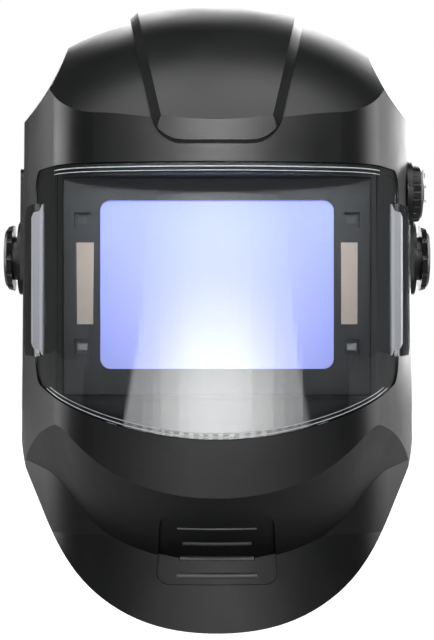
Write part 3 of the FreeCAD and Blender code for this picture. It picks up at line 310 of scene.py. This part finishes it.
finishes = {
    "shell_nylon": makeShellNylon(),
    "frame_nylon": makeMattNylon(),
    "clear_lens": makeClearPolycarbonate(),
    "filter_glass": makeFilterGlass(),
    "cartridge_plastic": makeSmoothPlastic("satinBlackAbs", "#151617", 0.42),
    "gasket_rubber": makeRubber(),
    "solar_cell": makeSolarCell(),
    "sensor_dark": makeSensorGlass(),
    "board_green": makeBoard(),
    "led_green": makeLed(),
    "control_plastic": makeGreyControl(),
    "dial_plastic": makeSmoothPlastic("polishedBlackNylon", "#161719", 0.3),
    "pot_body": makeSmoothPlastic("potMouldedPhenolic", "#20201f", 0.5),
    "cable_jacket": makeSmoothPlastic("cableVinyl", "#141414", 0.45),
    "steel": makeZincSteel(),
    "headgear_plastic": makeHeadgearPlastic(),
    "ratchet_plastic": makeSmoothPlastic("ratchetMouldedNylon", "#1b1c1d", 0.4),
    "brow_fabric": makeBrowFabric(),
}
finishes["washer_rubber"] = finishes["gasket_rubber"]
# pale: a painted highlight on the lens beads and clips
paintedHighlightEdge = makeLensEdge()
# pale band on each side of the lens: a painted highlight
paintedHighlightBand = makePaintedSideHighlight()
markPaint = makeSmoothPlastic("whiteTampoInk", "#c4c5c6", 0.5)
# pale grey: a painted highlight on the chin's lips and ridge, which are really the shell's black nylon
paintedHighlightLip = makeSmoothPlastic("rolledLipPaintedHighlight", "#7c7c7d", 0.5)
thread = makeStitch()

slotOf = {part["node"]: part["material_slot"] for part in frame["record"]["subparts"]}
for nodeName, slotName in slotOf.items():
    nodes[nodeName].data.materials.clear()
    nodes[nodeName].data.materials.append(finishes[slotName])
print("finishes on the packed parts")


# Pieces

def keepPiece(name, work, body, slotName, material=None, smoothAngle=40):
    mesh = bpy.data.meshes.new(name)
    work.to_mesh(mesh)
    work.free()
    piece = bpy.data.objects.new(name, mesh)
    bpy.context.scene.collection.objects.link(piece)
    mesh.materials.append(material or finishes[slotName])
    for face in mesh.polygons:
        face.use_smooth = True
    mesh.set_sharp_from_angle(angle=math.radians(smoothAngle))
    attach(piece, body)
    return piece


def nodeTree(name):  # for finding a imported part's surface
    work = bmesh.new()
    work.from_mesh(nodes[name].data)
    tree = BVHTree.FromBMesh(work)
    work.free()
    return tree


def fromFront(tree, x, z):  # where the surface is met from the front, and which way it faces there
    place, normal, _, _ = tree.ray_cast(Vector((x, rayStart, z)), Vector((0, 1, 0)))
    return place, normal


def sweepRound(points, radius, rounding):  # a round bar through points, in one bmesh
    curve = bpy.data.curves.new("sweep", "CURVE")
    curve.dimensions = "3D"
    curve.bevel_depth = radius
    curve.bevel_resolution = rounding
    curve.use_fill_caps = True
    spline = curve.splines.new("POLY")
    spline.points.add(len(points) - 1)
    for target, point in zip(spline.points, points):
        target.co = (*point, 1.0)
    holder = bpy.data.objects.new("sweep", curve)
    mesh = bpy.data.meshes.new_from_object(holder)
    work = bmesh.new()
    work.from_mesh(mesh)
    bpy.data.objects.remove(holder)
    bpy.data.curves.remove(curve)
    bpy.data.meshes.remove(mesh)
    bmesh.ops.remove_doubles(work, verts=work.verts, dist=1e-6)
    return work


def joinWork(target, source):  # adds one bmesh to another
    mesh = bpy.data.meshes.new("join")
    source.to_mesh(mesh)
    source.free()
    target.from_mesh(mesh)
    bpy.data.meshes.remove(mesh)


def roundedBlock(size, rolled, place, turn):  # a box with all its edges rolled
    work = bmesh.new()
    bmesh.ops.create_cube(work, size=1.0)
    bmesh.ops.scale(work, vec=size, verts=work.verts)
    bmesh.ops.bevel(work, geom=work.edges[:], offset=rolled, affect="EDGES", segments=3, profile=0.5,
                    material=-1)
    bmesh.ops.transform(work, matrix=Matrix.Translation(place) @ turn, verts=work.verts)
    return work


skins = {
    "parts": ("cover_lens", "lens_frame"),
    "smoothAngle": 11,           # degrees
    "mergeWithin": 0.004 * mm,
    "shortestEdge": 0.002 * mm,
}


def makeSkin(nodeName):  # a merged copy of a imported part, shaded smooth over its curves
    work = bmesh.new()
    work.from_mesh(nodes[nodeName].data)
    bmesh.ops.remove_doubles(work, verts=work.verts, dist=skins["mergeWithin"])
    bmesh.ops.dissolve_degenerate(work, edges=work.edges, dist=skins["shortestEdge"])
    piece = keepPiece(nodeName + "Skin", work, bodyOf[nodeName], slotOf[nodeName],
                      smoothAngle=skins["smoothAngle"])
    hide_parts(nodeName)
    return piece


skinPieces = {nodeName: makeSkin(nodeName) for nodeName in skins["parts"]}
print("smooth skins:", len(skinPieces))


lensRim = {
    "sink": 0.12 * mm,
    "topZ": 39.0 * mm,
    "lowZ": -90 * mm,
    "cornerX": 84 * mm,
    "cornerRise": 22 * mm,
    "topHalf": 78 * mm,
    "steps": 64,
    "rounding": 2,
    "beads": (   # inset from the edge, radius
        (1.3 * mm, 0.28 * mm),
        (3.2 * mm, 0.196 * mm),
    ),
}


def lowEdgeZ(x):  # lower edge of the lens seen from the front: an arc
    radius = (lensRim["cornerX"] ** 2 + lensRim["cornerRise"] ** 2) / (2 * lensRim["cornerRise"])
    return lensRim["lowZ"] + radius - math.sqrt(radius ** 2 - x ** 2)


def makeLensBeads():  # moulded beads along the top and bottom of the cover lens, painted pale as painted highlights where they catch the light
    r = lensRim
    tree = nodeTree("cover_lens")
    work = bmesh.new()
    for inset, radius in r["beads"]:
        for isTop, half in ((True, r["topHalf"]), (False, r["cornerX"] - inset)):
            points = []
            for step in range(r["steps"] + 1):
                x = half * math.sin(math.pi / 2 * (2 * step / r["steps"] - 1))
                place, _ = fromFront(tree, x, r["topZ"] - inset if isTop else lowEdgeZ(x) + inset)
                if place:
                    points.append(place + Vector((0, r["sink"], 0)))
            joinWork(work, sweepRound(points, radius, r["rounding"]))
    keepPiece("lensBeads", work, "shell", "clear_lens", paintedHighlightEdge)


makeLensBeads()
print("lens beads")


sideBands = {
    "topZ": 23.0 * mm,
    "lowZ": -51.5 * mm,
    "taper": 6.0 * mm,
    "frontY": -106.0 * mm,
    "backY": -93.5 * mm,
    "columns": 8,
    "rows": 2,
    "lift": 0.1 * mm,        # off the lens
    "thick": 0.35 * mm,
    "lookFrom": 0.2,         # outside everything at the side
}


def makeSideBands():  # pale band where each side of the lens turns into its wing: a painted highlight
    b = sideBands
    tree = nodeTree("cover_lens")
    middle, half = (b["topZ"] + b["lowZ"]) / 2, (b["topZ"] - b["lowZ"]) / 2
    for side, name in ((1, "sideBandLeft"), (-1, "sideBandRight")):
        work = bmesh.new()
        bmesh.ops.create_grid(work, x_segments=b["columns"], y_segments=b["rows"], size=1.0)
        for vertex in work.verts:
            share, level = (vertex.co.x + 1) / 2, vertex.co.y
            y = b["frontY"] + (b["backY"] - b["frontY"]) * share
            z = middle + level * (half - b["taper"] * share)
            place = tree.ray_cast(Vector((side * b["lookFrom"], y, z)), Vector((-side, 0, 0)))[0]
            vertex.co = place + Vector((side * b["lift"], 0, 0))
        bmesh.ops.recalc_face_normals(work, faces=work.faces)
        wall = bmesh.ops.extrude_face_region(work, geom=work.faces[:])
        outer = [g for g in wall["geom"] if isinstance(g, bmesh.types.BMVert)]
        bmesh.ops.translate(work, vec=(side * b["thick"], 0, 0), verts=outer)
        bmesh.ops.recalc_face_normals(work, faces=work.faces)
        keepPiece(name, work, "shell", "clear_lens", paintedHighlightBand)


makeSideBands()
print("frosted side bands")


lensClips = {
    "places": ((80.5 * mm, -71 * mm), (73.5 * mm, -76 * mm), (50.0 * mm, -82.0 * mm)),
    "size": (5.0 * mm, 1.0 * mm, 4.0 * mm),
    "rolled": 0.35 * mm,
    "setBack": 1.95 * mm,    # from the lens's outer face
}


def makeLensClips():  # small moulded catches inside the lower corners of the lens, painted the same pale as a painted highlight
    tree = nodeTree("cover_lens")
    work = bmesh.new()
    for x, z in lensClips["places"]:
        for side in (1, -1):
            place, normal = fromFront(tree, side * x, z)
            if place:
                turn = Vector((0, -1, 0)).rotation_difference(normal).to_matrix().to_4x4()
                back = place - normal * lensClips["setBack"]
                joinWork(work, roundedBlock(lensClips["size"], lensClips["rolled"], back, turn))
    keepPiece("lensClips", work, "shell", "clear_lens", paintedHighlightEdge)


makeLensClips()
print("lens clips")


chinLips = {
    "bars": (   # height, half length, radius, how far in, how far up
        (-144.0 * mm, 16.6 * mm, 1.15 * mm, 1.15 * mm, 1.75 * mm),
        (-152.4 * mm, 18.0 * mm, 1.15 * mm, 1.15 * mm, 1.75 * mm),
        (-160.8 * mm, 19.6 * mm, 1.15 * mm, 1.15 * mm, 1.75 * mm),
        (-133.7 * mm, 19.0 * mm, 0.55 * mm, 0.1 * mm, 0.0),   # ridge above the slots, also painted pale: a painted highlight
    ),
    "steps": 16,
    "rounding": 4,
    "farthest": 0.25,   # how far in to look, so that nothing behind the shell is met
}


def makeChinLips():  # rolled lower lips of the breathing slots, and the ridge above them, painted pale grey as painted highlights of their lit edges; the real ones are the shell's black nylon
    tree = nodeTree("helmet_shell")
    work = bmesh.new()
    for z, half, radius, inward, upward in chinLips["bars"]:
        points = []
        for step in range(chinLips["steps"] + 1):
            x = half * (2 * step / chinLips["steps"] - 1)
            place = tree.ray_cast(Vector((x, rayStart, z)), Vector((0, 1, 0)), chinLips["farthest"])[0]
            if place:
                points.append(place + Vector((0, inward, upward)))
        joinWork(work, sweepRound(points, radius, chinLips["rounding"]))
    keepPiece("chinSlotLips", work, "shell", "shell_nylon", paintedHighlightLip)


makeChinLips()
print("chin slot lips")


dialTicks = {
    "count": 7,
    "step": 38,               # degrees
    "reach": 11.2 * mm,       # from the dial's axis
    "size": (0.5 * mm, 0.8 * mm, 2.8 * mm),
    "rolled": 0.15 * mm,
    "sink": 0.1 * mm,
}


def makeDialTicks():  # raised marks round the shade dial's face
    low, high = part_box("shade_dial")
    axis = (low + high) / 2
    work = bmesh.new()
    for number in range(dialTicks["count"]):
        angle = math.radians(dialTicks["step"] * (number - (dialTicks["count"] - 1) / 2))
        turn = Matrix.Rotation(angle, 4, "X")
        offset = turn @ Vector((0, 0, dialTicks["reach"]))
        place = Vector((high.x - dialTicks["sink"], axis.y, axis.z)) + offset
        joinWork(work, roundedBlock(dialTicks["size"], dialTicks["rolled"], place, turn))
    keepPiece("dialTicks", work, bodyOf["shade_dial"], "dial_plastic", markPaint)


makeDialTicks()
print("dial ticks")


pads = {
    "voxel": 2.6 * mm,
    "mergeWithin": 0.004 * mm,
    "shrink": 0.9 * mm,
    "cap": 2.2 * mm,             # most that the filling may move a point
    "pressure": 4.0,
    "frames": 20,
    "fill": 0.6,
    "smoothAngle": 80,
    "keepOff": 0.35 * mm,        # from the band it sits on
    "ringRadius": 90 * mm,       # of the headband, for measuring along the pad
    "channelGap": 19 * mm,
    "channelDepth": 1.3 * mm,
    "channelWidth": 1.8 * mm,
    "welt": 0.8 * mm,
    "weltRounding": 3,
    "weltStep": 0.045,           # radians round the headband
    "weltRows": 8,               # fewer points up the pad than this is its rounded end
    "weltPasses": 3,             # of smoothing
    "lean": math.radians(15.6),
}


def puff(piece):  # inflates the cloth, with each point's travel capped
    start = [v.co.copy() for v in piece.data.vertices]
    cloth = piece.modifiers.new("fill", "CLOTH")
    cloth.settings.use_pressure = True
    cloth.settings.uniform_pressure_force = pads["pressure"]
    cloth.settings.effector_weights.gravity = 0
    cloth.point_cache.frame_start = 1
    cloth.point_cache.frame_end = pads["frames"]
    for number in range(1, pads["frames"] + 1):
        bpy.context.scene.frame_set(number)
    swollen = piece.evaluated_get(bpy.context.evaluated_depsgraph_get()).data
    ends = [v.co.copy() for v in swollen.vertices]
    piece.modifiers.remove(cloth)
    bpy.context.scene.frame_set(1)
    for vertex, first, last in zip(piece.data.vertices, start, ends):
        move = last - first
        vertex.co = first + move * min(1.0, pads["cap"] / max(move.length, 1e-9))


def leanPlace(point):  # along the pad and up it, in the plane of the leaning headband
    c, s = math.cos(pads["lean"]), math.sin(pads["lean"])
    return Vector((point.x, point.y * c + point.z * s, point.z * c - point.y * s))


def makePad(nodeName, pieceName, sign):  # sign is which way the pad lies along Y from the head
    work = bmesh.new()
    work.from_mesh(nodes[nodeName].data)
    bmesh.ops.remove_doubles(work, verts=work.verts, dist=pads["mergeWithin"])
    bmesh.ops.recalc_face_normals(work, faces=work.faces)
    for vertex in work.verts:
        vertex.co -= vertex.normal * pads["shrink"]
    piece = keepPiece(pieceName, work, bodyOf[nodeName], "brow_fabric", smoothAngle=pads["smoothAngle"])
    remesh = piece.modifiers.new("even", "REMESH")
    remesh.mode = "VOXEL"
    remesh.voxel_size = pads["voxel"]
    even = bpy.data.meshes.new_from_object(piece.evaluated_get(bpy.context.evaluated_depsgraph_get()))
    piece.modifiers.remove(remesh)
    piece.data = even
    even.materials.clear()
    even.materials.append(finishes["brow_fabric"])
    puff(piece)
    band = nodeTree("headband")
    normals = [v.normal.copy() for v in piece.data.vertices]
    for vertex, normal in zip(piece.data.vertices, normals):
        flat = leanPlace(vertex.co)
        along = math.atan2(flat.x, sign * flat.y) * pads["ringRadius"] / pads["channelGap"]
        toChannel = (along - math.floor(along) - 0.5) * pads["channelGap"]
        dip = math.exp(-(toChannel / pads["channelWidth"]) ** 2)
        inward = -Vector((flat.x, flat.y, 0)).normalized()
        facing = max(0.0, leanPlace(normal).dot(inward))
        vertex.co -= normal * pads["channelDepth"] * dip * facing
        _, _, _, gapToBand = band.find_nearest(vertex.co)
        if gapToBand < pads["keepOff"]:
            vertex.co += inward * (pads["keepOff"] - gapToBand)
    for face in piece.data.polygons:
        face.use_smooth = True
    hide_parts(nodeName)
    makeWelts(piece, pieceName, sign)
    rounder = piece.modifiers.new("round", "SUBSURF")
    rounder.levels = rounder.render_levels = 1


def makeWelts(piece, pieceName, sign):  # sewn welts along the pad's upper and lower edges
    columns = {}
    for vertex in piece.data.vertices:
        flat = leanPlace(vertex.co)
        along = math.atan2(flat.x, sign * flat.y)
        columns.setdefault(round(along / pads["weltStep"]), []).append((flat.z, vertex.co.copy()))
    keys = sorted(k for k, rows in columns.items() if len(rows) > pads["weltRows"])[1:-1]
    work = bmesh.new()
    for pick in (max, min):
        points = [pick(columns[k], key=lambda row: row[0])[1] for k in keys]
        for _ in range(pads["weltPasses"]):
            between = [(a + b * 2 + c) / 4 for a, b, c in zip(points, points[1:], points[2:])]
            points = [points[0]] + between + [points[-1]]
        joinWork(work, sweepRound(points, pads["welt"], pads["weltRounding"]))
    keepPiece(pieceName + "Welts", work, "headgear", "brow_fabric", thread)


makePad("brow_pad", "browPad", -1)
makePad("rear_pad", "rearPad", 1)
print("padded pieces")


# Studio

studio = {
    "cardY": -1.0,
    "cardTopZ": 0.085,
    "cardLowZ": -0.17,
    "cardTopHalf": 0.335,
    "cardLowHalf": 0.515,
    "cardBright": 4.6,             # low in the middle
    "cardDim": 0.4,                # at the top
    "cardRamp": (-0.11, 0.02),     # heights between which it dims
    "cardSide": 0.34,              # share left at the card's sides
    "flagEnd": 1.6,
    "flagGap": 0.06,
    "floorDrop": 0.5 * mm,
    "floorHalf": 6,
    "floorGlow": 0.05,             # for all but the camera
    "worldGlow": 0.035,            # for all but the camera
    "spotRadius": 0.08,
}
softboxes = (  # name, place, aim, size, watts
    ("topSoftbox", (0.0, -0.75, 1.6), (0, -0.1, 0.05), 1.4, 17),
    ("leftSoftbox", (-1.7, 0.6, 0.3), (0, 0, -0.04), 1.5, 19),
    ("rightSoftbox", (1.7, 0.6, 0.3), (0, 0, -0.04), 1.5, 19),
    ("backSoftbox", (0.3, 1.8, 0.55), (0, 0, 0), 1.4, 44),
)
spots = (  # name, place, aim, cone in degrees, watts
    ("browSpot", (0.0, -1.25, 0.42), (0, -0.15, 0.066), 11, 56),
    ("rimSpot", (0.0, -1.2, 0.45), (0, -0.125, -0.198), 6, 40),
)


def makeStagePiece(name, corners, material, seenByCamera=False):
    work = bmesh.new()
    work.faces.new([work.verts.new(c) for c in corners])
    mesh = bpy.data.meshes.new(name)
    work.to_mesh(mesh)
    work.free()
    piece = bpy.data.objects.new(name, mesh)
    bpy.context.scene.collection.objects.link(piece)
    mesh.materials.append(material)
    piece.visible_camera = seenByCamera
    piece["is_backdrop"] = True
    return piece


def makeCard():  # a glowing card in front, brightest low in the middle, between two black flags
    s = studio
    glowing, tree, shader = newMaterial("studioCard", base="#000000", glowColour="#ffffff")
    place = addNode(tree, "ShaderNodeSeparateXYZ", {}, {0: surfacePlace(tree)})
    height = addNode(tree, "ShaderNodeMapRange", {
        "interpolation_type": "SMOOTHSTEP", "From Min": s["cardRamp"][0], "From Max": s["cardRamp"][1],
        "To Min": s["cardBright"], "To Max": s["cardDim"]}, {"Value": place.outputs["Z"]})
    width = addNode(tree, "ShaderNodeMapRange", {
        "From Min": s["cardLowZ"], "From Max": s["cardTopZ"],
        "To Min": s["cardLowHalf"], "To Max": s["cardTopHalf"]}, {"Value": place.outputs["Z"]})
    sideways = addNode(tree, "ShaderNodeMath", {"operation": "ABSOLUTE"}, {0: place.outputs["X"]})
    across = addNode(tree, "ShaderNodeMath", {"operation": "DIVIDE"},
                     {0: sideways.outputs[0], 1: width.outputs[0]})
    centre = addNode(tree, "ShaderNodeMapRange", {
        "interpolation_type": "SMOOTHSTEP", "From Min": 0.1, "From Max": 0.9,
        "To Min": 1.0, "To Max": s["cardSide"]}, {"Value": across.outputs[0]})
    border = addNode(tree, "ShaderNodeMapRange", {
        "interpolation_type": "SMOOTHSTEP", "From Min": 0.94, "From Max": 1.0,
        "To Min": 1.0, "To Max": 0.0}, {"Value": across.outputs[0]})
    glow = addNode(tree, "ShaderNodeMath", {"operation": "MULTIPLY"},
                   {0: height.outputs[0], 1: centre.outputs[0]})
    soft = addNode(tree, "ShaderNodeMath", {"operation": "MULTIPLY"},
                   {0: glow.outputs[0], 1: border.outputs[0]})
    tree.links.new(soft.outputs[0], shader.inputs["Emission Strength"])
    y, lowZ, topZ, lowHalf, topHalf = (
        s[key] for key in ("cardY", "cardLowZ", "cardTopZ", "cardLowHalf", "cardTopHalf"))
    makeStagePiece("frontCard", [
        (-lowHalf, y, lowZ), (lowHalf, y, lowZ), (topHalf, y, topZ), (-topHalf, y, topZ)], glowing)
    black, _, _ = newMaterial("studioFlag", base="#000000", roughness=1.0)
    for side, name in ((1, "flagLeft"), (-1, "flagRight")):
        makeStagePiece(name, [
            (side * lowHalf, y, lowZ), (side * s["flagEnd"], y, lowZ),
            (side * (topHalf + s["flagGap"]), y, topZ), (side * topHalf, y, topZ)], black)


def makeFloor():  # pale, and plain white to the camera
    pale, tree, shader = newMaterial("paleFloor", base="#8c8c8c", roughness=0.9, glowColour="#ffffff")
    path = addNode(tree, "ShaderNodeLightPath")
    white = addNode(tree, "ShaderNodeMapRange", {"To Min": studio["floorGlow"], "To Max": 1.0},
                    {"Value": path.outputs["Is Camera Ray"]})
    tree.links.new(white.outputs["Result"], shader.inputs["Emission Strength"])
    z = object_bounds()[0][2] - studio["floorDrop"]
    half = studio["floorHalf"]
    makeStagePiece("studioFloor", [
        (-half, -half, z), (half, -half, z), (half, half, z), (-half, half, z)], pale, True)


def placeLamp(name, kind, place, aim, watts, **settings):
    lamp = bpy.data.lights.new(name, kind)
    lamp.energy = watts
    for key, value in settings.items():
        setattr(lamp, key, value)
    holder = bpy.data.objects.new(name, lamp)
    holder.location = place
    holder.rotation_euler = (Vector(aim) - Vector(place)).to_track_quat("-Z", "Y").to_euler()
    holder.visible_camera = False
    bpy.context.scene.collection.objects.link(holder)
    return holder


def makeLights():
    offLens = bpy.data.collections.new("offLens")  # keeps the softboxes' edges out of the clear sheet
    offLens.objects.link(skinPieces["cover_lens"])
    offLens.collection_objects[0].light_linking.link_state = "EXCLUDE"
    for name, place, aim, size, watts in softboxes:
        holder = placeLamp(name, "AREA", place, aim, watts, shape="SQUARE", size=size)
        holder.light_linking.receiver_collection = offLens
    for name, place, aim, cone, watts in spots:
        placeLamp(name, "SPOT", place, aim, watts, spot_size=math.radians(cone), spot_blend=1.0,
                  shadow_soft_size=studio["spotRadius"])


def makeWorld():  # white to the eye, dimmer in reflections
    world = bpy.data.worlds.new("studioWorld")
    world.use_nodes = True
    tree = world.node_tree
    ground = tree.nodes["Background"]
    path = addNode(tree, "ShaderNodeLightPath")
    strength = addNode(tree, "ShaderNodeMapRange", {"To Min": studio["worldGlow"], "To Max": 1.0},
                       {"Value": path.outputs["Is Camera Ray"]})
    ground.inputs["Color"].default_value = (1, 1, 1, 1)
    tree.links.new(strength.outputs["Result"], ground.inputs["Strength"])
    bpy.context.scene.world = world


view = {
    "lens": 102.3,        # mm, on a 36 mm sensor
    "sensor": 36,
    "place": (0, -1.0, -34 * mm),
    "nearest": 0.01,
}


def makeCamera():  # straight from the front
    camera = bpy.data.objects.new("camera", bpy.data.cameras.new("camera"))
    camera.data.lens = view["lens"]
    camera.data.sensor_width = view["sensor"]
    camera.data.clip_start = view["nearest"]
    camera.location = view["place"]
    camera.rotation_euler = (math.radians(90), 0, 0)
    bpy.context.scene.collection.objects.link(camera)
    bpy.context.scene.camera = camera


makeCard()
makeFloor()
makeLights()
makeWorld()
makeCamera()
print("studio ready")
